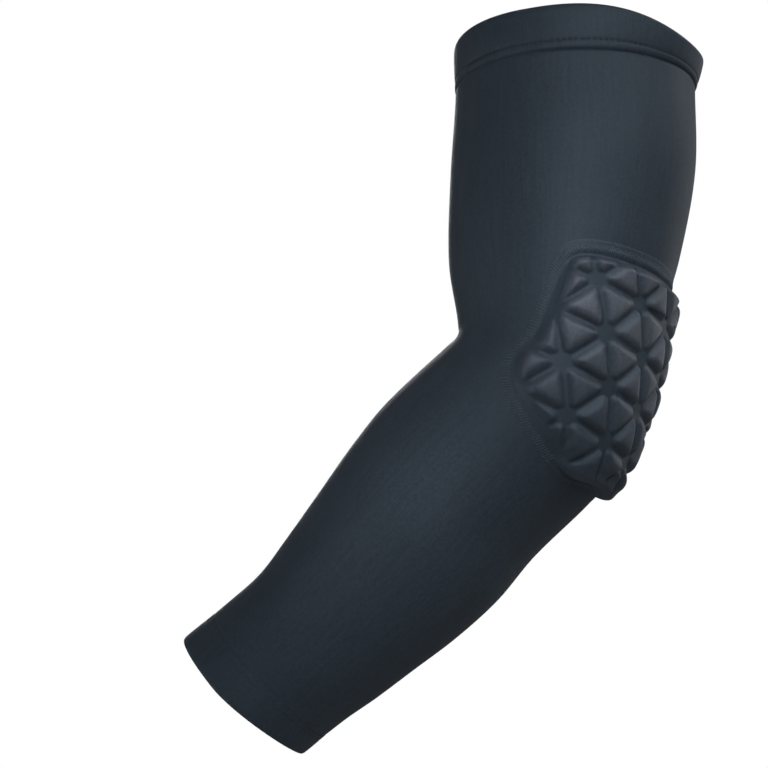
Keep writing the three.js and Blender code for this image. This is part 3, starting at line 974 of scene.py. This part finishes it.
ring_count = len(pad_across)
pad_points = np.concatenate((pad_rings.reshape(-1, 3), pad_middles))
flat_places = np.concatenate(
    (
        np.stack((pad_across, pad_along), axis=-1).reshape(-1, 2),
        np.stack((middle_across, middle_along), axis=-1),
    )
)
pad_faces = []
for spoke in range(PAD_AROUND):
    turned = (spoke + 1) % PAD_AROUND
    pad_faces.append((ring_count * PAD_AROUND, spoke, turned))
    for ring in range(ring_count - 1):
        near = ring * PAD_AROUND
        far = near + PAD_AROUND
        pad_faces.append((near + spoke, far + spoke, far + turned, near + turned))
    last = (ring_count - 1) * PAD_AROUND
    pad_faces.append((last + spoke, ring_count * PAD_AROUND + 1, last + turned))
pad_corners = np.concatenate([np.array(face) for face in pad_faces])
pad_lay = np.zeros((len(pad_corners), 3))
pad_lay[:, :2] = flat_places[pad_corners] / (PAD_WALE, COURSE)
# The painted highlight on the cushions fades towards the pad's lower end, a painted shade there.
tight_lit_share = LOWER_TIGHT_AND_LIT + (1 - LOWER_TIGHT_AND_LIT) * smooth_step(face_along, TIGHT_LIT_FROM, TIGHT_LIT_TO)
face_tight_and_lit = (tight_lit_share * cushion_height(face_across, face_along, face_border)).ravel()
pad_lay[:, 2] = np.append(face_tight_and_lit, np.zeros(len(flat_places) - len(face_tight_and_lit)))[pad_corners]
pad_streak = np.zeros((len(flat_places), 3))
pad_streak[:, :2] = flat_places * (STREAK_ROUND / reach("side", PAD_CENTRE), STREAK_RUN / COURSE)
pad = cloth_piece("elbow_pad_cushions", pad_points, pad_faces, pad_lay, pad_streak)
pad.data.materials.append(knit_material("pad_knit", PAD_GLOSS))
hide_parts("elbow_pad")


# Pad seam
# The seam that binds the pad's border to the sleeve, in a thread a little lighter than the knit: a row of
# short stitches on the sleeve just outside the border, and a row of longer ones that lie side by side like
# ribs over the border's edge. It is left off on the lip.

# The stitches, called ticks here. A row gives how far in from the border's edge its ticks start, and their
# length. The path of a tick is given as shares of its length and its rise there.
TICK_PITCH = 1.4
TICK_ROWS = ((-2.4, 1.0), (-1.2, 2.8))
TICK_STRAY = 0.3
TICK_TOP_SHIFT = 2.0
TICK_LIP_LIMIT = 0.15
TICK_PATH = ((0.0, -0.35), (0.18, 0.0), (0.5, 0.05), (0.82, 0.0), (1.0, -0.35))
SEAM_THREAD_RADIUS = 0.25
SEAM_THREAD_COLOUR = (0.030, 0.039, 0.050, 1)

tick_step, tick_rise = np.array(TICK_PATH).T
tick_count = round(edge_run[-1] / TICK_PITCH)
tick_run = np.arange(tick_count)[:, None] * edge_run[-1] / tick_count
tick_spoke = np.interp(tick_run, edge_run, spokes)
tick_edge = np.interp(tick_spoke, spokes, edge_distance, period=2 * math.pi)
tick_square = np.interp(tick_spoke, spokes, edge_squareness, period=2 * math.pi)
tick_stray = TICK_STRAY * np.sin(np.arange(tick_count) ** 2)[:, None]
tick_shift = graded((0, TICK_TOP_SHIFT), tick_edge * np.cos(tick_spoke) + PAD_MIDDLE)
tick_paths = []
for tick_start, tick_length in TICK_ROWS:
    tick_border = tick_start + tick_shift + tick_stray + tick_length * tick_step
    tick_radius = tick_edge - tick_border / tick_square
    tick_across = tick_radius * np.sin(tick_spoke)
    tick_along = tick_radius * np.cos(tick_spoke) + PAD_MIDDLE
    tick_lift = pad_lift(tick_across, tick_along, tick_border) + tick_rise
    tick_points, tick_outward = pad_point(tick_across, tick_along, tick_lift)
    off_lip = lip_share(tick_across, tick_along).max(axis=1) < TICK_LIP_LIMIT
    tick_paths.extend(zip(tick_points[off_lip], tick_outward[off_lip]))
pad_seam = thread_piece("pad_seam", tick_paths, SEAM_THREAD_RADIUS)
pad_seam.data.materials.append(thread_material("seam_thread", SEAM_THREAD_COLOUR))
